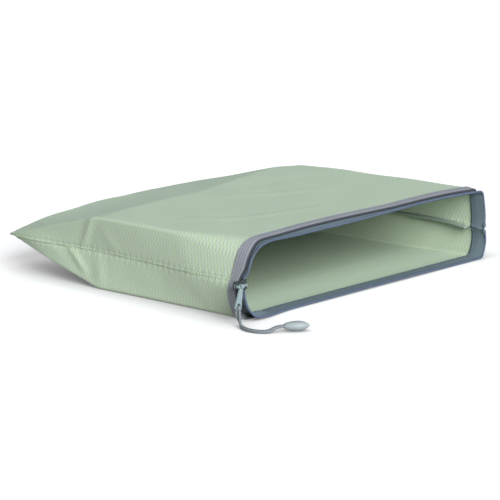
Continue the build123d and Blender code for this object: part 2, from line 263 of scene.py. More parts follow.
def finish_of(name, roughness, metallic=0.0, specular=0.5, sheen=0.0):
    """A new material; its constants sit on the shader's own sockets."""
    material = bpy.data.materials.new(name)
    material.use_nodes = True
    shader = material.node_tree.nodes["Principled BSDF"]
    shader.inputs["Roughness"].default_value = roughness
    shader.inputs["Metallic"].default_value = metallic
    shader.inputs["Specular IOR Level"].default_value = specular
    shader.inputs["Sheen Weight"].default_value = sheen
    return material, material.node_tree, shader


def put(socket, value):
    """Link another node's output to a socket, or set the socket's number."""
    if isinstance(value, bpy.types.NodeSocket):
        socket.id_data.links.new(value, socket)
    else:
        socket.default_value = value


def node(tree, kind, settings=(), **inputs):
    """A new node with its settings, and its inputs linked or set by name."""
    made = tree.nodes.new(kind)
    for name, value in dict(settings).items():
        setattr(made, name, value)
    for name, value in inputs.items():
        put(made.inputs[name.replace("_", " ")], value)
    return made


def sums(tree, operation, first, second=0.0, third=0.0):
    """One math node's result."""
    made = node(tree, "ShaderNodeMath", {"operation": operation})
    for socket, value in zip(made.inputs, (first, second, third)):
        put(socket, value)
    return made.outputs[0]


def ramp(tree, value, low, high):
    """0 below low, 1 above high, and smooth between them."""
    made = node(tree, "ShaderNodeMapRange", {"interpolation_type": "SMOOTHSTEP"},
                Value=value, From_Min=low, From_Max=high)
    return made.outputs[0]


def blended(tree, share, first, second, mode="MIX"):
    """Two colours mixed by share."""
    made = node(tree, "ShaderNodeMix", {"data_type": "RGBA", "blend_type": mode})
    for socket, value in ((0, share), (6, first), (7, second)):
        put(made.inputs[socket], value)
    return made.outputs[2]


def cut_places(tree):
    """The piece's UV map as two numbers in metres: across and along the cut cloth."""
    source = node(tree, "ShaderNodeUVMap", {"uv_map": "cut"})
    parts = node(tree, "ShaderNodeSeparateXYZ", Vector=source.outputs["UV"])
    return parts.outputs["X"], parts.outputs["Y"]


def raised(tree, shader, height, depth, after=None):
    """Bump the surface by a height from 0 to 1 that stands depth metres proud."""
    bump = node(tree, "ShaderNodeBump", Strength=1.0, Distance=depth, Height=height)
    if after is not None:
        put(bump.inputs["Normal"], after)
    put(shader.inputs["Normal"], bump.outputs["Normal"])
    return bump.outputs["Normal"]


def wave(tree, value, pitch, shift=0.0):
    """A smooth wave from 0 to 1 with the given pitch in metres."""
    turned = sums(tree, "MULTIPLY_ADD", value, 2 * math.pi / pitch, shift)
    return sums(tree, "MULTIPLY_ADD", sums(tree, "SINE", turned), 0.5, 0.5)


def crossed(tree, across, along, slope, pitch, shift=0.0):
    """Two waves that climb opposite ways across the surface."""
    return [
        wave(tree, sums(tree, "MULTIPLY_ADD", across, way * slope, along), pitch, shift)
        for way in (1, -1)
    ]


cord_finish, cord_tree, cord_shader = finish_of("braided cord", 0.8, specular=0.15)
round_way, along_way = cut_places(cord_tree)
braid_pitch = 2.1 * mm
plait_round = 2 * math.pi * (cord_diameter / 2) / 4
plait = sums(cord_tree, "MULTIPLY",
             *crossed(cord_tree, round_way, along_way, braid_pitch / plait_round, braid_pitch))
cord_colour = blended(cord_tree, ramp(cord_tree, plait, 0.05, 0.7), colour(86, 92, 96), colour(168, 174, 178))
put(cord_shader.inputs["Base Color"], cord_colour)
raised(cord_tree, cord_shader, plait, 0.12 * mm)


def braid_relief(far, turn):
    """Plaited yarns: eight bundles that wind both ways round the cord."""
    lay = 2 * math.pi * far / braid_pitch
    return 0.965 + 0.07 * np.sin(lay + 4 * turn) * np.sin(lay - 4 * turn)


cord_line = spaced(spline_points(cord_route, 24), 0.28 * mm)
cord_grid, cord_uv = tube(cord_line, cord_diameter / 2, 16, braid_relief)
cord_mesh = closed_mesh("pull_cord_braid", cord_grid, cord_uv)
cord = piece("pull_cord_braid", cord_mesh, "cord", cord_finish)
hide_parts("pull_cord")

# ---- Cord grip -------------------------------------------------------------------------------
# A moulded leaf of satin plastic closed over the cord's two ends. It is a little flat on top,
# with a soft ridge along one side, and narrows to a rounded tip.
grip_length = 21.5 * mm
grip_width = 11.2 * mm
grip_height = 8.6 * mm
grip_rings = 44
grip_sides = 40


def bell(value, width, middle=0.0):
    """1 at the middle, and nearly 0 from two widths away."""
    return np.exp(-(((value - middle) / width) ** 2))


def grip_section(share):
    """Half width and half height of the grip at a share of its length."""
    swell = math.sin(math.pi * (0.155 + 0.66 * share)) ** 0.9
    tip = math.sqrt(max(0.0, 1 - max(0.0, (share - 0.5) / 0.5) ** 2.6))
    root = 1 - 0.1 * math.exp(-share / 0.05)
    return grip_width / 2 * swell * tip * root, grip_height / 2 * (0.1 + 0.9 * swell) * tip * root


def grip_mesh():
    """Rings round the grip from the cord's end to the tip."""
    rings, uv = [], []
    turn = np.linspace(0, 2 * math.pi, grip_sides + 1)
    for ring in range(grip_rings):
        share = 1 - (1 - ring / (grip_rings - 1)) ** 1.25
        wide, high = grip_section(min(share, 0.9985))
        across_part, up_part = np.cos(turn), np.sin(turn)
        flat = 1 - 0.12 * bell(turn, 0.55, 0.5 * math.pi) * math.sin(math.pi * share)
        ridge = 1 + 0.05 * bell(turn, 0.16, 0.82 * math.pi) * math.sin(math.pi * share)
        sideways = np.outer(across_part * wide * ridge, Vector(grip_across))
        upward = np.outer(up_part * high * flat, (0, 0, 1))
        centre = np.array(grip_root + grip_way * grip_length * share)
        rings.append((centre + sideways + upward)[:-1])
        uv.append(np.stack([turn * wide, np.full(grip_sides + 1, share * grip_length)], axis=1))
    return closed_mesh("grip_leaf", np.array(rings), np.array(uv))


def cloudy(tree, place, scale, detail=2.0):
    """Soft random variation from 0 to 1 at a place, scale in patches per metre."""
    return node(tree, "ShaderNodeTexNoise", Vector=place, Scale=scale, Detail=detail).outputs["Fac"]


def own_place(tree):
    """The point's own place on the piece, in metres."""
    return node(tree, "ShaderNodeTexCoord").outputs["Object"]


def mottled(tree, shader, scale, dark, light):
    """Base colour in soft patches between two tones, scale in patches per metre."""
    put(shader.inputs["Base Color"], blended(tree, cloudy(tree, own_place(tree), scale), dark, light))


grip_finish, grip_tree, grip_shader = finish_of("moulded grip", 0.42, specular=0.3)
mottled(grip_tree, grip_shader, 260.0, colour(134, 142, 145), colour(152, 160, 163))
raised(grip_tree, grip_shader, cloudy(grip_tree, own_place(grip_tree), 2600.0, 3.0), 0.02 * mm)
grip = piece("grip_leaf", grip_mesh(), "cord", grip_finish)
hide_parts("cord_grip")

# ---- Panels ----------------------------------------------------------------------------------
# Two sheets of coated mesh, one above the side seams and one below, cut alike. They are sewn
# face to face along both sides and the back and turned, so that the raw edges lie inside.
bag_width = 307.0  # this section counts in millimetres
bag_depth = 321.0
half_height = 33.0
panel_front = 9.5  # the cut edge, behind the mouth
fold_left, fold_right = 196.0, 228.0  # where the load ends, on each side
fabric = 0.8
hem = 2.6  # the turned-in edge
hem_gap = 0.12  # half the gap between the two hems
seam_stitch_pitch = 3.8
fold_softness = 0.028  # share of the slope over which it bends
tape_clear = 15.5  # behind the zip tape's sewn edge
tip_half = 0.8  # half the height of the bag's back tips
back_corner = 8.0  # the back tips in from the sides
corner_reach, mouth_reach = 60.0, 45.0  # how far back the mouth's own shape carries
belly_reach, lip_reach = 48.0, 95.0  # the same for the side walls' bulge and the upper edge's arch
wall_columns, bend_columns, top_columns = 24, 9, 104
front_rows, back_rows = 132, 84
seam_line = [  # depth, and the left seam's place across
    (-20, -6.3), (20, -6.3), (55, -6.4), (112, -1.4), (154, 2.4), (202, 4.6), (249, 4.2), (292, 2.2),
    (324, 8.0), (350, 12.0),
]
lip_rise = [  # across, and the mouth's upper edge there
    (-20, 0.0), (10, 0.0), (30, 0.6), (50, 1.1), (75, 2.0), (110, 2.3), (150, 2.0), (190, 1.3),
    (240, 1.5), (275, 1.0), (295, 0.2), (310, -0.6), (330, -0.6),
]
back_seam_rise = [  # across, and the back seam's rise there
    (-20, 0), (8, 0), (18, 2.2), (31, 4.4), (56, 8.0), (82, 10.2), (108, 12.0), (148, 13.2),
    (195, 13.1), (240, 12.8), (272, 10.5), (290, 5.5), (299, 0), (330, 0),
]
fold_bow = [  # across, and how far back the fold bows
    (-20, 0.0), (20, 0.0), (97, -1.7), (131, -3.6), (169, -3.4), (194, -0.6), (234, 6.7),
    (250, 9.5), (270, 10.5), (285, 8.5), (300, 0.0), (330, 0.0),
]


def eased(points, place):
    """A smooth curve through a few points."""
    known, values = (np.array(row, float) for row in zip(*points))
    slopes = np.gradient(values, known)
    span = np.clip(np.searchsorted(known, place) - 1, 0, len(known) - 2)
    size = known[span + 1] - known[span]
    t = np.clip((place - known[span]) / size, 0, 1)
    return (
        (1 + 2 * t) * (1 - t) ** 2 * values[span] + t * (1 - t) ** 2 * size * slopes[span]
        + t ** 2 * (3 - 2 * t) * values[span + 1] + t ** 2 * (t - 1) * size * slopes[span + 1]
    )


def unit(vectors):
    """The same ways, one long each."""
    return vectors / np.maximum(np.linalg.norm(vectors, axis=-1, keepdims=True), 1e-9)


def across_grid(points):
    """The way square to the grid at each of its points."""
    return unit(np.cross(np.gradient(points, axis=1), np.gradient(points, axis=0)))


def step_up(value, low, high):
    """0 below low, 1 above high, and smooth between them."""
    share = np.clip((value - low) / (high - low), 0, 1)
    return share * share * (3 - 2 * share)


def rounded_way(corners, left_radius, right_radius):
    """From the left seam to the right one by way of two rounded upper corners."""
    start, left, right, end = (np.array(corner, float) for corner in corners)

    def towards(here, there, radius):
        reach = min(radius, 0.62 * np.linalg.norm(there - here))
        return here + (there - here) / np.linalg.norm(there - here) * reach

    def bent(before, corner, after):
        return (1 - bend) ** 2 * before + 2 * bend * (1 - bend) * corner + bend ** 2 * after

    before_left, after_left = towards(left, start, left_radius), towards(left, right, left_radius)
    before_right, after_right = towards(right, left, right_radius), towards(right, end, right_radius)
    wall = np.linspace(0, 1, wall_columns)[:, None] ** 1.25
    bend = np.linspace(0, 1, bend_columns + 2)[1:-1, None]
    top = np.linspace(0, 1, top_columns)[:, None]
    return np.concatenate([
        start + wall * (before_left - start), bent(before_left, left, after_left),
        after_left + top * (before_right - after_left), bent(before_right, right, after_right),
        (end + wall * (after_right - end))[::-1],
    ])


def bag_line(side, left_depth, right_depth, fall=0.0, inset=0.0):
    """Points over the bag from seam to seam; side is 1 above the seams and -1 below them, fall
    is how far the line has gone down the back slope, and inset draws it in."""
    height = half_height * (1 - fall) + tip_half * fall - inset
    corner_in = back_corner * fall + inset
    near = bell(max(left_depth, 0), corner_reach)
    mouth = bell(max(left_depth, 0), mouth_reach)
    seam_left = eased(seam_line, np.array(left_depth)) + inset
    skew = bag_depth / (bag_depth + (fold_right - fold_left) * (1 - fall))
    seam_right = bag_width - eased(seam_line, np.array(right_depth * skew)) - inset
    corner_left = corner_in + (7.0 * near if side > 0 else -2.2 * (1 - fall))
    corner_right = bag_width - corner_in + (5.5 if side > 0 else 4.0) * near
    softened = 2.4 * (1 - fall) + 1.0
    points = rounded_way(
        [(seam_left, 0), (corner_left, height), (corner_right, height), (seam_right, 0)],
        softened + (16.6 if side > 0 else -1.4) * near, softened,
    )
    x, h = points[:, 0].copy(), points[:, 1].copy()
    share = np.clip((x - seam_left) / (seam_right - seam_left), 0, 1)
    y = left_depth + (right_depth - left_depth) * share
    rise = np.clip(h / height, 0, 1)
    on_left = x < bag_width / 2
    belly = np.where(on_left, 0.0 if side > 0 else 6.0, 2.6 if side > 0 else 3.9)
    power = np.where(on_left, 0.75, 0.6 if side > 0 else 0.85)
    out = belly * np.sin(math.pi * rise ** power) * bell(y, belly_reach)
    x += np.where(on_left, -out, out)
    arch = eased(back_seam_rise, x)
    sweep = step_up(np.minimum(share, 1 - share), 0, 0.22)
    hollow, full = 1 - (1 - fall) ** 1.25, fall ** 1.1
    shape = fall + (hollow + (full - hollow) * step_up(share, 0.35, 0.9) - fall) * sweep
    hang = np.where(on_left, 0.0, 5.0) * (1 - rise) * mouth
    droop = step_up(20 - y, 0, 13) * rise ** 2
    if side > 0:
        lift = half_height - (half_height - arch) * shape - half_height * (1 - fall)
        lip = eased(lip_rise, x) * bell(left_depth, lip_reach)
        crown = 1.3 * np.sin(math.pi * np.clip(y / 225, 0, 1)) ** 0.6 * step_up(x, 150, 280)
        z = half_height + h + lift * rise + (lip + crown) * rise ** 2 - hang - droop
        loaded = step_up(left_depth, 60, fold_left) * (1 - fall)
        y = y + eased(fold_bow, x) * loaded * rise ** 2
        wall = (1 - step_up(x, 2, 20)) * step_up(rise, 0.05, 0.4)
        y = y + wall * np.interp(left_depth, (1, 9.5, 20), (0.8, -3.4, 0))
    else:
        lift = (half_height + arch) * shape - half_height * fall
        z = half_height - h + lift * rise - hang
        bow = bell(x, 26, 8) * (1 - step_up(left_depth, 2, 30))
        y = y - 5.0 * bow * step_up(rise, 0.75, 1.0)
    return np.stack([x, y, z], axis=1)


# Creases of each half: two ends, depth and half width; the cloth dips along the line between them.
creases = {
    1: [
        ((34, 128, 67), (62, 91, 67), 0.6, 7), ((60, 93, 67), (98, 70, 68), 0.7, 7),
        ((92, 72, 68), (156, 61, 68), 0.65, 7), ((136, 167, 68), (216, 116, 68), 0.65, 8),
        ((150, 170, 68), (290, 150, 68), 0.3, 10), ((70, 175, 67), (112, 150, 68), 0.4, 8),
        ((0, 200, 64), (5, 218, 35), 1.5, 4.5), ((2, 186, 52), (6, 170, 36), 0.5, 6),
        ((30, 262, 58), (120, 296, 58), 0.7, 9), ((200, 250, 62), (240, 300, 56), 0.8, 10),
        ((0, 90, 58), (-4, 70, 38), 0.35, 8), ((306, 210, 60), (303, 228, 36), 1.2, 5),
    ],
    -1: [
        ((5, 235, 31), (2, 212, 13), 1.7, 4), ((4, 198, 28), (1, 188, 4), 1.0, 7),
        ((1, 150, 24), (-1, 120, 14), 0.5, 9), ((5, 262, 31), (6, 246, 22), 0.6, 5),
        ((-4, 70, 26), (-3, 45, 10), 0.5, 8), ((302, 235, 31), (306, 212, 12), 1.4, 5),
        ((60, 250, 20), (140, 290, 34), 0.8, 10), ((200, 300, 36), (260, 260, 16), 0.8, 10),
    ],
}


def dip(points, start, end, depth, width):
    """How deep a crease presses in at each point."""
    start, end = np.array(start, float), np.array(end, float)
    way = end - start
    share = np.clip(((points - start) @ way) / (way @ way), 0, 1)
    away = np.linalg.norm(points - start - share[..., None] * way, axis=-1)
    fade = np.sin(math.pi * np.clip(0.12 + 0.76 * share, 0, 1)) ** 0.7
    return depth * fade * (bell(away, width) - 0.35 * bell(away, 2.1 * width))


def settled(points, side):
    """The sheet with its creases, the slack of a loaded bag and the ridge beside the seam."""
    normal = across_grid(points) * -side
    press = np.zeros(points.shape[:2])
    for start, end, depth, width in creases[side]:
        press += dip(points, start, end, depth, width)
    x, y, z = np.moveaxis(points, 2, 0)
    slack = 0.32 * np.sin(x / 23 + 1.7 * np.sin(y / 31)) * np.sin(y / 27 + 0.6)
    slack += 0.2 * np.sin(x / 11 - y / 17)
    slack *= step_up(y, 15, 60) if side > 0 else step_up(z, 0.5, 8)
    steps = np.linalg.norm(np.diff(points, axis=1), axis=2)
    from_left = np.concatenate([np.zeros((len(points), 1)), np.cumsum(steps, axis=1)], axis=1)
    from_seam = np.minimum(from_left, from_left[:, -1:] - from_left)
    ridge = 0.42 * bell(from_seam, 1.0, 1.7) - 0.3 * bell(from_seam, 0.6)
    pucker = 0.16 * np.sin(2 * math.pi * y / (2 * seam_stitch_pitch)) * bell(from_seam, 3, 2.5)
    moved = points + normal * (slack - press + ridge + pucker)[..., None]
    if side < 0:
        moved[..., 2] = np.maximum(moved[..., 2], 0.35 * (1 - step_up(y, 19, 24)))
    return moved


def panel_grid(side):
    """The whole sheet with its turned-in edges, in millimetres from the mouth's left corner."""
    lines = []
    for share in np.concatenate([np.linspace(-1, 0, front_rows), np.linspace(0, 1, back_rows)[1:]]):
        left, right = (
            panel_front + (fold - panel_front) * (share + 1) if share <= 0
            else fold + (bag_depth - fold) * share
            for fold in (fold_left, fold_right)
        )
        fall = min(1.0, 0.5 * (share + math.hypot(share, fold_softness)))
        lines.append(bag_line(side, left, right, fall))
    sheet = settled(np.array(lines), side)
    edges = []
    for at, inward in ((0, 1), (-1, -1)):
        tucked = sheet[:, at].copy()
        tucked[:, 2] = np.array(lines)[:, at, 2] + side * hem_gap
        tucked[:, 0] += inward * 0.4
        end = tucked.copy()
        end[:, 0] += inward * (0.2 + (hem - 0.6) * step_up(end[:, 1], tape_clear, tape_clear + 6))
        edges.append((tucked, end))
    (left_tuck, left_end), (right_tuck, right_end) = edges
    whole = np.concatenate([
        left_end[:, None], left_tuck[:, None], sheet, right_tuck[:, None], right_end[:, None]
    ], axis=1)
    middle = whole[-1].copy()
    middle[:, 2] = half_height + side * hem_gap + eased(back_seam_rise, middle[:, 0])
    middle[:, 1] -= 0.3
    end = middle.copy()
    end[:, 1] -= hem
    return np.concatenate([whole, middle[None], end[None]])


def cut_lengths(grid):
    """The flat cloth's own measure across and along at each point of the grid."""
    step_across = np.linalg.norm(np.diff(grid, axis=1), axis=2)
    step_along = np.linalg.norm(np.diff(grid, axis=0), axis=2)
    across = np.concatenate([[0], np.cumsum(step_across[: front_rows].mean(0))])
    along = np.concatenate([np.zeros((1, grid.shape[1])), np.cumsum(step_along, axis=0)])
    return np.stack(np.broadcast_arrays(across[None, :], along), axis=2)


def in_frame(grid):
    """Millimetres from the mouth's left corner to the frame's metres."""
    return grid * mm + np.array([mouth_left, mouth_front, 0])


def evaluated(holder, source, name):
    """The holder's mesh with its modifiers in it; the holder and its source mesh go."""
    bpy.context.view_layer.update()
    made = bpy.data.meshes.new_from_object(holder.evaluated_get(bpy.context.evaluated_depsgraph_get()))
    bpy.data.objects.remove(holder)
    bpy.data.meshes.remove(source)
    made.name = name
    return made


def solid_sheet(name, grid, uv, thickness):
    """A closed sheet whose outer face is the grid and whose inner face lies thickness inside it."""
    middle = grid.reshape(-1, 3).mean(0)
    mesh = grid_mesh(name, grid, uv)
    outwardness = sum(
        face.normal.dot(face.center - Vector(middle)) * face.area for face in mesh.polygons
    )
    if outwardness < 0:
        mesh.flip_normals()
    holder = bpy.data.objects.new(name, mesh)
    scene.collection.objects.link(holder)
    thick = holder.modifiers.new("thickness", "SOLIDIFY")
    thick.thickness = thickness
    thick.offset = -1
    return evaluated(holder, mesh, name)


fabric_finish, fabric_tree, fabric_shader = finish_of("coated mesh", 0.72, specular=0.12, sheen=0.05)
fabric_shader.inputs["Sheen Roughness"].default_value = 0.45
fabric_shader.inputs["Sheen Tint"].default_value = colour(205, 228, 246)
cut_across, cut_along = cut_places(fabric_tree)
dash_pitch = 4.0 * mm  # between the dashes along a row
row_pitch = 3.85 * mm  # between the rows, each shifted by half


def staggered(shift=0.0):
    """Rows of dashes from 0 to 1, each row half a pitch past the last."""
    slope = dash_pitch / row_pitch / 2
    both = crossed(fabric_tree, cut_across, cut_along, slope, dash_pitch, shift)
    return sums(fabric_tree, "MULTIPLY", sums(fabric_tree, "ADD", *both), 0.5)


frayed = sums(fabric_tree, "MULTIPLY_ADD", cloudy(fabric_tree, own_place(fabric_tree), 1100.0), 0.3, -0.15)
dash = ramp(fabric_tree, sums(fabric_tree, "ADD", staggered(), frayed), 0.32, 0.7)
ground = blended(fabric_tree, cloudy(fabric_tree, own_place(fabric_tree), 22.0),
                 colour(173, 194, 151), colour(181, 202, 160))
yarn = blended(fabric_tree, cloudy(fabric_tree, own_place(fabric_tree), 900.0), colour(175, 186, 181),
               colour(186, 195, 193))
flank = staggered(0.5 * math.pi)  # beside each dash, a quarter pitch on
flank_shade = blended(fabric_tree, flank, colour(240, 240, 240), colour(255, 255, 255))
put(fabric_shader.inputs["Base Color"],
    blended(fabric_tree, 1.0, blended(fabric_tree, dash, ground, yarn), flank_shade, "MULTIPLY"))
fine = cloudy(fabric_tree, own_place(fabric_tree), 2400.0, 3.0)
fine_bump = raised(fabric_tree, fabric_shader, fine, 0.03 * mm)
raised(fabric_tree, fabric_shader, dash, 0.08 * mm, fine_bump)

halves = ((1, "upper"), (-1, "lower"))
panel_grids = {}
for side, word in halves:
    grid = panel_grid(side)
    panel_grids[side] = grid
    uv = cut_lengths(grid) * mm
    mesh = solid_sheet(f"{word}_panel_cloth", in_frame(grid), uv, fabric * mm)
    panel = piece(f"{word}_panel_cloth", mesh, "bag", fabric_finish)
    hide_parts(f"{word}_panel")

# ---- Edge bindings ---------------------------------------------------------------------------
# A ribbed woven ribbon folded over each panel's cut edge and stitched through along both of its
# edges. The upper and the lower one end side by side at the side seams.
binding_back = 20.0
ribbon_rib = 1.9  # between the woven ribs
rib_height = 0.05
turned_edge = 10.8 * mm  # from the ribbon's back edge to its fold


def ribbon_profile():
    """Depth behind the mouth and outset of each point round the ribbon's section."""
    outer = []
    for share in np.linspace(0, 1, 29):
        depth = binding_back - (binding_back - panel_front + 0.5) * share
        edge = (1 - abs(2 * share - 1) ** 9) ** 0.5
        rib = rib_height * math.cos(2 * math.pi * (depth - panel_front) / ribbon_rib)
        outer.append((depth, 0.12 + (0.68 + rib) * edge))
    fold = [(panel_front - 0.65, 0.0), (panel_front - 0.75, -0.5), (panel_front - 0.5, -1.0)]
    inner = [(binding_back - 5, -1.0), (binding_back - 5, -0.86), (panel_front, -0.86)]
    inner += [(panel_front - 0.15, -0.4), (panel_front - 0.1, 0.08)]
    return outer + fold + inner + [(binding_back - 4, 0.08)]


def edge_sweep(side, profile, notch):
    """A closed section carried along the mouth's edge from one side seam to the other, its two
    ends a notch short of the seams."""
    lines = []
    for depth, outset in profile:
        line = bag_line(side, depth, depth, inset=-outset)
        line[[0, -1], 2] += side * notch
        lines.append(line)
    return np.array(lines).transpose(1, 0, 2)


def swept_uv(grid):
    """Across round the section and along the sweep, in the grid's own units."""
    closed = np.concatenate([grid, grid[:, :1]], axis=1)
    across = np.cumsum(np.linalg.norm(np.diff(closed, axis=1), axis=2).mean(0))
    along = np.cumsum(np.linalg.norm(np.diff(grid, axis=0), axis=2).mean(1))
    across, along = np.concatenate([[0], across]), np.concatenate([[0], along])
    return np.stack(np.broadcast_arrays(across[None, :], along[:, None]), axis=2)


def swept_piece(name, grid, material):
    """A closed swept ribbon as a piece of the bag."""
    return piece(name, closed_mesh(name, in_frame(grid), swept_uv(grid) * mm), "bag", material)


def toned(material, tint):
    """Multiply a finish's base colour by a tint."""
    base = material.node_tree.nodes["Principled BSDF"].inputs["Base Color"]
    put(base, blended(material.node_tree, 1.0, base.links[0].from_socket, tint, "MULTIPLY"))


def woven(name, dark, light, pitch, roughness, twist=1.0, depth=0.08 * mm):
    """A ribbon's finish: yarns that cross at a slant, a little uneven in colour."""
    material, tree, shader = finish_of(name, roughness, specular=0.15)
    across, along = cut_places(tree)
    slant = wave(tree, sums(tree, "MULTIPLY_ADD", across, twist, along), pitch)
    filling = wave(tree, across, 1.4 * pitch)
    weave = sums(tree, "MULTIPLY_ADD", slant, 0.55, sums(tree, "MULTIPLY", filling, 0.45))
    fibre = cloudy(tree, own_place(tree), 1500.0, 3.0)
    tone = sums(tree, "MULTIPLY_ADD", fibre, 0.35, sums(tree, "MULTIPLY", weave, 0.65))
    put(shader.inputs["Base Color"], blended(tree, ramp(tree, tone, 0.2, 0.8), dark, light))
    raised(tree, shader, tone, depth)
    return material


ribbon_finish = woven("ribbed ribbon", colour(106, 109, 117), colour(153, 156, 163), 1.6 * mm, 0.75)
ribbon_tree = ribbon_finish.node_tree
# Painted shade: past its fold the ribbon's colour is darkened to a fifth, for the shadowed step down to the
# tape.
painted_fold_shade = ramp(ribbon_tree, cut_places(ribbon_tree)[0], turned_edge, turned_edge + 0.5 * mm)
toned(ribbon_finish, blended(ribbon_tree, painted_fold_shade, (1.0, 1.0, 1.0, 1.0), (0.2, 0.2, 0.22, 1.0)))
ribbon_section = ribbon_profile()
# The height over the table of each point of the section, where the ribbon lies on it.
lying = np.interp([outset for _, outset in ribbon_section],
                  (-1.0, -0.86, -0.45, 0.09, 0.1), (1.3, 1.17, 0.6, 0.3, 0.0))
for side, word in halves:
    grid = edge_sweep(side, ribbon_section, 0.3)
    grid[..., 2] = np.maximum(grid[..., 2], lying[None, :])
    ribbon = swept_piece(f"{word}_edge_ribbon", grid, ribbon_finish)
    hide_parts(f"{word}_binding")

# ---- Zip tapes -------------------------------------------------------------------------------
# Thin herringbone tape sewn inside the panels. Each stands out past the ribbon to its coil, and
# beside the slider it is drawn back where the two coils close.
tape_back = 16.0
tape_front = 1.9
tape_thickness = 0.7
tape_inset = 1.2
tape_slack = 3.4  # where it stands off the ribbon, lower left
coil_draw = {  # across, and how far the coil is drawn in
    1: [(-20, -1.6), (5, -1.6), (20, -1.2), (38, -0.4), (62, 0.8), (140, 0.8), (170, -0.4),
        (195, -1.3), (250, -1.5), (285, -1.4), (330, -1.4)],
    -1: [(-20, 1.2), (-2, 1.0), (20, -0.4), (60, -0.4), (250, -0.4), (285, -1.2), (330, -1.4)],
}


def tape_line(side, depth, inner=0.0):
    """The tape's line at a depth: under the ribbon first, then drawn in or let out to its coil."""
    flat = bag_line(side, depth, depth)
    inset = tape_inset + eased(coil_draw[side], flat[:, 0]) * max(0.0, 1 - depth / panel_front) + inner
    if side < 0:
        corner = (1 - step_up(flat[:, 0], 6, 26)) * (1 - step_up(flat[:, 2], 20, 30))
        inset += tape_slack * corner * bell(depth, 4.5, panel_front)
    full = bag_line(side, depth, depth, inset=tape_inset + 2)
    near_part = (inset / (tape_inset + 2))[:, None]
    return flat + (full - flat) * near_part


def tape_grid(side):
    """The tape's section swept along the edge and drawn back beside the slider."""
    depths = np.linspace(tape_back, tape_front, 12)
    lines = [tape_line(side, depth) for depth in depths]
    lines += [tape_line(side, depth, tape_thickness) for depth in depths[::-1]]
    grid = np.array(lines).transpose(1, 0, 2)
    grid[[0, -1], :, 2] += side * 0.15
    above = np.abs(grid[..., 2] - half_height)
    beside = (1 - step_up(above, 4.0, 9.0)) * (grid[..., 0] < bag_width / 2)
    near_front = step_up(tape_back - grid[..., 1], 6, tape_back - tape_front)
    grid[..., 1] += 3.2 * beside * near_front
    grid[..., 2] = np.maximum(grid[..., 2], 0.15)
    return grid


def paint_gap_shade(material, reach, floor):
    """Painted shade: darken a finish's colour in deep gaps, within reach metres, down to the floor share."""
    tree = material.node_tree
    gap = node(tree, "ShaderNodeAmbientOcclusion", Distance=reach)
    open_share = ramp(tree, gap.outputs["AO"], 0.15, 0.75)
    toned(material, blended(tree, open_share, (floor, floor, floor, 1.0), (1.0, 1.0, 1.0, 1.0)))


tape_finish = woven("zip tape", colour(72, 88, 96), colour(116, 130, 137), 1.3 * mm, 0.75, twist=-1.0)
# Painted shade: the tape's colour goes dark where it lies deep in the gap behind the ribbon.
paint_gap_shade(tape_finish, 6.0 * mm, 0.12)
for side, word in halves:
    tape = swept_piece(f"{word}_tape", tape_grid(side), tape_finish)
    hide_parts(f"{word}_zip_tape")

# ---- Coils -----------------------------------------------------------------------------------
# Each half of the zip is one nylon thread wound into small round turns and sewn on the tape's
# edge. At the left the two coils run side by side into the slider, as far as the bottom stop.
turn_pitch = 1.25 * mm
turn_radius = 0.78 * mm
turn_lean = math.radians(78)
thread_radius = 0.33 * mm
core_radius = 0.42 * mm  # the filling inside the turns
line_step = 0.4 * mm  # between the centre line's points
coil_depth = 1.0  # millimetres behind the mouth
coil_pair = 1.0
coil_start = -17.3  # where the bottom stop ends
throat = (-12.4, coil_pair), (-9.6, 2.2), (-8.9, 4.6)  # the way out of the slider


def coil_line(side):
    """The coil's centre line from the bottom stop round to the right side seam, in the frame."""
    edge = tape_line(side, coil_depth, tape_thickness / 2)
    above = side * (edge[:, 2] - half_height)
    keep = (above > 8.0) | (edge[:, 0] > bag_width / 2)
    first = [(x, coil_depth, half_height + side * h) for x, h in ((coil_start, coil_pair),) + throat]
    whole = np.concatenate([first, edge[keep]])
    whole[:, 2] = np.maximum(whole[:, 2], (turn_radius + thread_radius) / mm + 0.05)
    return spaced(in_frame(spline_way(whole)), line_step)


def spline_way(points):
    """The points joined by a smooth line that keeps close to them."""
    finer = spaced(points, 1.5)
    for _ in range(3):
        finer[1:-1] = (finer[:-2] + 2 * finer[1:-1] + finer[2:]) / 4
    return finer


def turn_shape(tree, given):
    """One round turn of thread, its axis near X."""
    circle = "GeometryNodeCurvePrimitiveCircle"
    loop = node(tree, circle, Resolution=12, Radius=given["Radius"])
    section = node(tree, circle, Resolution=5, Radius=given["Thread"])
    wound = node(tree, "GeometryNodeCurveToMesh", Curve=loop.outputs["Curve"],
                 Profile_Curve=section.outputs["Curve"])
    turned = node(tree, "GeometryNodeTransform", Geometry=wound.outputs["Mesh"],
                  Rotation=(0.0, turn_lean, 0.0))
    return turned.outputs["Geometry"]


def stitch_shape(tree, given):
    """One rounded stitch, long in X and flat in Z."""
    ball = node(tree, "GeometryNodeMeshUVSphere", Segments=8, Rings=5, Radius=0.5)
    size = node(tree, "ShaderNodeCombineXYZ", X=given["Stitch"], Y=given["Thread"], Z=given["Rise"])
    scaled = node(tree, "GeometryNodeTransform", Geometry=ball.outputs["Mesh"],
                  Scale=size.outputs["Vector"])
    return scaled.outputs["Geometry"]


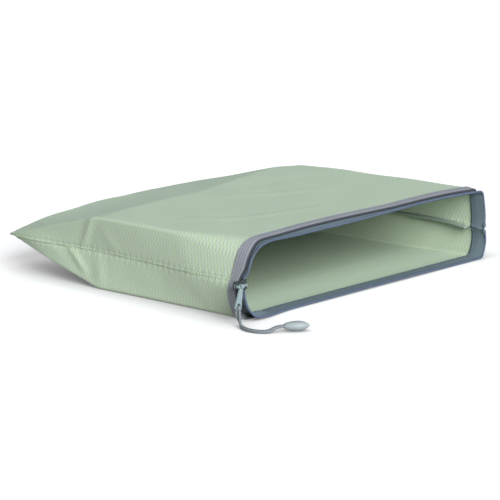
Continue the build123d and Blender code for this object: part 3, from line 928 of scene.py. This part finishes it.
def repeat_tree(name, sizes, shape):
    """A node tree that sets one shape along a line at even spacing, facing the line's outward."""
    tree = bpy.data.node_groups.new(name, "GeometryNodeTree")
    tree.interface.new_socket("Geometry", in_out="INPUT", socket_type="NodeSocketGeometry")
    for size in ("Spacing", *sizes):
        tree.interface.new_socket(size, in_out="INPUT", socket_type="NodeSocketFloat")
    tree.interface.new_socket("Finish", in_out="INPUT", socket_type="NodeSocketMaterial")
    tree.interface.new_socket("Geometry", in_out="OUTPUT", socket_type="NodeSocketGeometry")
    given = node(tree, "NodeGroupInput").outputs
    line = node(tree, "GeometryNodeMeshToCurve", Mesh=given["Geometry"])
    even = node(tree, "GeometryNodeResampleCurve", {"mode": "LENGTH"},
                Curve=line.outputs["Curve"], Length=given["Spacing"])
    facing = node(tree, "GeometryNodeInputNamedAttribute", {"data_type": "FLOAT_VECTOR"}, Name="outward")
    tangent = node(tree, "GeometryNodeInputTangent")
    align = "FunctionNodeAlignRotationToVector"
    stand = node(tree, align, {"axis": "Z"}, Vector=facing.outputs["Attribute"])
    swing = node(tree, align, {"axis": "X", "pivot_axis": "Z"},
                 Rotation=stand.outputs["Rotation"], Vector=tangent.outputs["Tangent"])
    copies = node(tree, "GeometryNodeInstanceOnPoints", Points=even.outputs["Curve"],
                  Instance=shape(tree, given), Rotation=swing.outputs["Rotation"])
    real = node(tree, "GeometryNodeRealizeInstances", Geometry=copies.outputs["Instances"])
    painted = node(tree, "GeometryNodeSetMaterial", Geometry=real.outputs["Geometry"],
                   Material=given["Finish"])
    node(tree, "NodeGroupOutput", Geometry=painted.outputs["Geometry"])
    return tree


def repeated(name, lines, tree, values, body, material):
    """Bake the tree along lines of (points, outward directions) into one plain mesh piece."""
    points = np.concatenate([line for line, _ in lines])
    outwards = np.concatenate([facing for _, facing in lines])
    edges, start = [], 0
    for line, _ in lines:
        edges += [(start + i, start + i + 1) for i in range(len(line) - 1)]
        start += len(line)
    source = bpy.data.meshes.new(name)
    source.from_pydata(points.tolist(), edges, [])
    source.attributes.new("outward", "FLOAT_VECTOR", "POINT").data.foreach_set("vector", outwards.ravel())
    holder = bpy.data.objects.new(name, source)
    scene.collection.objects.link(holder)
    modifier = holder.modifiers.new("along", "NODES")
    modifier.node_group = tree
    sockets = {item.name: item.identifier for item in tree.interface.items_tree if item.in_out == "INPUT"}
    for key, value in values.items():
        modifier[sockets[key]] = value
    modifier[sockets["Finish"]] = material
    mesh = evaluated(holder, source, name)
    outward(mesh)
    return piece(name, mesh, body, material)


def forward_facing(line):
    """Directions out of the mouth for a line's points."""
    return np.tile((0.0, -1.0, 0.0), (len(line), 1))


def plain_round(far, turn):
    """A tube with no relief."""
    return np.ones_like(turn)


coil_finish, coil_tree, coil_shader = finish_of("coil thread", 0.38, specular=0.5)
mottled(coil_tree, coil_shader, 500.0, colour(66, 82, 110), colour(104, 118, 142))
turns = repeat_tree("thread turns", ("Radius", "Thread"), turn_shape)
coils = {}
for side, word in halves:
    line = coil_line(side)
    coils[side] = line
    coil = repeated(
        f"{word}_coil_turns", [(line, forward_facing(line))], turns,
        {"Spacing": turn_pitch, "Radius": turn_radius, "Thread": thread_radius},
        "bag", coil_finish,
    )
    core_mesh = closed_mesh(f"{word}_coil_core", *tube(line, core_radius, 8, plain_round))
    piece(f"{word}_coil_core", core_mesh, "bag", coil_finish)
    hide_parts(f"{word}_coil")

# ---- Stitching -------------------------------------------------------------------------------
# Lock stitches: two rows through each ribbon, and one row that holds the side seams' ridge.
def thread(name, dark, light):
    """A spun sewing thread's finish."""
    material, tree, shader = finish_of(name, 0.6, specular=0.3, sheen=0.2)
    mottled(tree, shader, 700.0, dark, light)
    return material


thread_finish = thread("sewing thread", colour(150, 152, 158), colour(186, 188, 192))
seam_thread_finish = thread("seam thread", colour(176, 198, 160), colour(196, 214, 182))
stitches = repeat_tree("lock stitches", ("Stitch", "Thread", "Rise"), stitch_shape)
ribbon_stitch = {"Spacing": 2.4 * mm, "Stitch": 1.7 * mm, "Thread": 0.42 * mm, "Rise": 0.3 * mm}
seam_stitch = {"Spacing": seam_stitch_pitch * mm, "Stitch": 2.5 * mm, "Thread": 0.45 * mm, "Rise": 0.3 * mm}


def edge_row(side, depth, outset):
    """A row of stitches along a ribbon, and the ways out of its face."""
    line = bag_line(side, depth, depth, inset=-outset)[2:-2]
    facing = unit(line - bag_line(side, depth, depth)[2:-2])
    line[:, 2] = np.maximum(line[:, 2], 0.16)  # clear of the table
    return in_frame(line), facing


for side, word in halves:
    rows = [edge_row(side, depth, 0.86) for depth in (panel_front + 1.3, binding_back - 1.4)]
    repeated(f"{word}_ribbon_stitches", rows, stitches, ribbon_stitch, "bag", thread_finish)


def surface_row(grid, column, step_out):
    """Points on a panel along one of its columns, and the ways out of the cloth there."""
    facing = across_grid(grid)[:, column]
    middle = grid[:, column].mean(0) - grid.reshape(-1, 3).mean(0)
    if facing.mean(0) @ middle < 0:
        facing = -facing
    first, last = 6, front_rows + back_rows - 8
    return in_frame((grid[:, column] + facing * step_out)[first:last]), facing[first:last]


for side, word in halves:
    grid = panel_grids[side]
    rows = [surface_row(grid, column, 0.05) for column in ((4, -5) if side < 0 else (3, -4))]
    repeated(f"{word}_seam_stitches", rows, stitches, seam_stitch, "bag", seam_thread_finish)

# ---- Stops -----------------------------------------------------------------------------------
# Small zinc clips: one crimped round the end of each coil at the right, and the plain staple
# that joins the two coils at the left.
clip_length = 3.0 * mm
clip_radius = 1.35 * mm
clip_back = 2.2 * mm  # from the coil's end to the clip


def clip_relief(far, turn):
    """A squared ring, pinched at its middle."""
    square = 1 / (np.abs(np.cos(turn)) ** 5 + np.abs(np.sin(turn)) ** 5) ** 0.2
    pinch = 1 - 0.12 * bell(far, 0.5 * mm, clip_length / 2)
    ends = 1 - 0.25 * math.exp(-far / (0.25 * mm)) - 0.25 * math.exp(-(clip_length - far) / (0.25 * mm))
    return square * pinch * ends


def zinc(name, dark, light, roughness):
    """Painted zinc: a satin coat, a little uneven in tone and faintly pebbled."""
    material, tree, shader = finish_of(name, roughness, metallic=0.25, specular=0.4)
    cast = cloudy(tree, own_place(tree), 900.0, 4.0)
    put(shader.inputs["Base Color"], blended(tree, ramp(tree, cast, 0.3, 0.7), dark, light))
    raised(tree, shader, cloudy(tree, own_place(tree), 3000.0, 3.0), 0.02 * mm)
    return material


stop_finish = zinc("stop zinc", colour(84, 96, 102), colour(120, 132, 136), 0.4)
for side, word in halves:
    line = coils[side]
    at = len(line) - round((clip_back + clip_length) / line_step)
    span = spaced(line[at:at + round(clip_length / line_step) + 1], clip_length / 24)
    clip_mesh = closed_mesh(f"{word}_top_stop", *tube(span, clip_radius, 28, clip_relief))
    piece(f"{word}_top_stop", clip_mesh, "bag", stop_finish)
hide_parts("top_stops")


def refinish(node, material):
    """Give a carried-over node its finish."""
    carried = bpy.data.objects[node]
    for place in carried.material_slots:
        place.material = material


refinish("bottom_stop", stop_finish)

# ---- Slider and tab --------------------------------------------------------------------------
# A die-cast zinc slider with a crown that holds the tab. Both are coated in a grey green, and
# the tab is stamped from sheet with an arched hole for the cord. The body's colour is set near
# black instead, as painted shade, and is painted darker still in its gaps.
# Painted shade: the body's coat is far darker than the crown's, though both are the same grey green.
shaded_body_finish = zinc("slider zinc", colour(28, 36, 39), colour(52, 62, 65), 0.38)
paint_gap_shade(shaded_body_finish, 3.0 * mm, 0.08)
crown_finish = zinc("crown zinc", colour(126, 144, 143), colour(150, 168, 166), 0.36)
tab_finish = zinc("tab zinc", colour(124, 143, 146), colour(142, 160, 163), 0.36)
for part, coat in (("slider_body", shaded_body_finish), ("slider_crown", crown_finish), ("pull_tab", tab_finish)):
    refinish(part, coat)

# ---- Seam ribbons ----------------------------------------------------------------------------
# Inside the bag the raw edges of both panels are held in one folded ribbon, down each side and
# along the back.
seam_ribbon_wide = 8.6
seam_ribbon_front = 16.5
seam_ribbon_back = 40.0  # from the back seam, at each side
seam_ribbon_corner = 26.0  # from each side, at the back


def folded_strip(word, line, inward, half, sink, curl):
    """A folded ribbon along a line, reaching inward from it, as a piece of the bag; half is half
    its thickness, and its free edge sinks below the seam and curls up and down."""
    turn = np.linspace(-0.5 * math.pi, 0.5 * math.pi, 7)
    section = [(1.6, -half / 3), (3.2, -half)]
    section += [(seam_ribbon_wide - half + half * math.cos(t), half * math.sin(t)) for t in turn]
    section += [(3.2, half), (1.6, half / 3)]
    along = lengths_along(line)
    rings = []
    for reach, rise in section:
        far = reach / seam_ribbon_wide
        lift = rise - sink * far + curl * far ** 2 * np.sin(along / 11)
        rings.append(line + inward * reach + np.outer(lift, (0, 0, 1)))
    grid = np.array(rings).transpose(1, 0, 2)
    strip = swept_piece(f"{word}_seam_ribbon", grid, seam_ribbon_finish)
    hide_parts(f"{word}_seam_binding")


seam_ribbon_finish = woven("seam ribbon", colour(104, 116, 108), colour(148, 160, 150), 1.3 * mm, 0.8)
side_depths = np.linspace(seam_ribbon_front, bag_depth - seam_ribbon_back, 90)
seam_ends = np.array([bag_line(1, depth, depth)[[0, -1]] for depth in side_depths])
for at, way, word in ((0, 1.0, "left"), (1, -1.0, "right")):
    folded_strip(word, seam_ends[:, at], np.array([way, 0, 0]), 1.1, 0.6, 0.6)
back_across = np.linspace(seam_ribbon_corner, bag_width - seam_ribbon_corner, 90)
back_line = np.stack([
    back_across, np.full(90, bag_depth - 0.3), half_height + eased(back_seam_rise, back_across)
], axis=1)
folded_strip("back", back_line, np.array([0, -1.0, 0]), 0.45, 1.3, 0.1)

# ---- Table and light -------------------------------------------------------------------------
# A plain white table with a soft contact shadow painted round the bag, a wide soft light from the
# mouth's left, a cooler one from above the mouth and an even pale room.
table_half = 6.0
table_drop = 0.0002  # under the lowest pieces
contact_reach = 0.042  # how far the painted soft contact shadow spreads
room_level = 0.14
lamp_distance = 2.6


def shown_directly(tree):
    """1 for rays that show the background itself, straight or by way of metal or glass."""
    path = node(tree, "ShaderNodeLightPath")
    seen = sums(tree, "MAXIMUM", path.outputs["Is Camera Ray"], path.outputs["Is Glossy Ray"])
    return sums(tree, "MAXIMUM", seen, path.outputs["Is Transmission Ray"])


floor_mesh = bpy.data.meshes.new("table")
corners = [(x * table_half, y * table_half, 0) for x, y in ((-1, -1), (1, -1), (1, 1), (-1, 1))]
floor_mesh.from_pydata(corners, [], [(0, 1, 2, 3)])
table = bpy.data.objects.new("table", floor_mesh)
table.location.z = -table_drop
scene.collection.objects.link(table)
table_finish, table_tree, table_shader = finish_of("white table", 0.9, specular=0.0)
table_shader.inputs["Emission Color"].default_value = (1, 1, 1, 1)
seen = shown_directly(table_tree)
# Painted shadow: seen directly, the table's colour and glow darken by ambient occlusion near the bag.
nearby = node(table_tree, "ShaderNodeAmbientOcclusion", Distance=contact_reach)
open_share = sums(table_tree, "POWER", nearby.outputs["AO"], 1.5)
open_share = sums(table_tree, "MAXIMUM", open_share, sums(table_tree, "SUBTRACT", 1.0, seen))
put(table_shader.inputs["Base Color"],
    blended(table_tree, open_share, colour(128, 128, 128), colour(208, 208, 208)))
glow = sums(table_tree, "MULTIPLY_ADD", open_share, 0.34, 0.14)
put(table_shader.inputs["Emission Strength"], sums(table_tree, "MULTIPLY", seen, glow))
floor_mesh.materials.append(table_finish)

world = bpy.data.worlds.new("room")
world.use_nodes = True
scene.world = world
background = world.node_tree.nodes["Background"]
background.inputs["Color"].default_value = (1, 1, 1, 1)
put(background.inputs["Strength"],
    sums(world.node_tree, "MULTIPLY_ADD", shown_directly(world.node_tree), 1 - room_level, room_level))


def distant_light(name, spread, energy, way, tint=(1.0, 1.0, 1.0)):
    """A wide light that shines from far off along a way, its spread in degrees."""
    data = bpy.data.lights.new(name, "SUN")
    data.angle = math.radians(spread)
    data.energy = energy
    data.color = tint
    lamp = bpy.data.objects.new(name, data)
    way = Vector(way).normalized()
    lamp.location = way * lamp_distance
    lamp.rotation_mode = "QUATERNION"
    lamp.rotation_quaternion = way.to_track_quat("Z", "Y")
    scene.collection.objects.link(lamp)


distant_light("soft light", 30, 4.2, (-0.5, -1.0, 0.5))
distant_light("ceiling light", 24, 1.3, (-0.05, -1.0, 1.0), (0.84, 0.94, 1.0))
